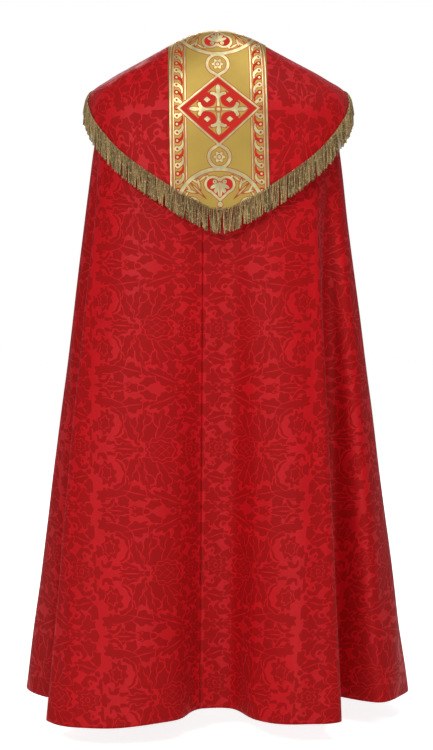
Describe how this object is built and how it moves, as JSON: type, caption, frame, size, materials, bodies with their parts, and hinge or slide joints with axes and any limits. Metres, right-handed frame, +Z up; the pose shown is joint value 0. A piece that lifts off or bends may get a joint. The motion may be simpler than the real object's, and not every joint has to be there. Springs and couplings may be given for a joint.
{
  "type": "cope vestment with a fringed shield hood and woven gold orphreys",
  "caption": "Floor-length red damask cope, hanging as worn: two halves joined down the back, a fringed shield hood with a gold orphrey, orphreys down the open front, and a morse at the chest.",
  "frame": {"origin": "middle of the neck opening, at the level where the neck meets the shoulders", "axes": "+Z up, -Y the way the wearer faces, so the back and its hood are at +Y, and +X the wearer's left"},
  "size_m": [0.8665, 0.6796, 1.4822],
  "materials": {
    "damask": "red figured damask with a soft satin sheen",
    "brocade": "gold satin ground with metallic and red figures",
    "bullion": "twisted antique gold thread"
  },
  "bodies": {
    "root": {"cope_left_half": "damask", "cope_right_half": "damask", "front_orphrey_left": "brocade", "front_orphrey_right": "brocade", "hood": "damask", "hood_orphrey": "brocade", "hood_fringe": "bullion", "neckband": "damask", "morse_tab": "brocade"}
  },
  "joints": []
}
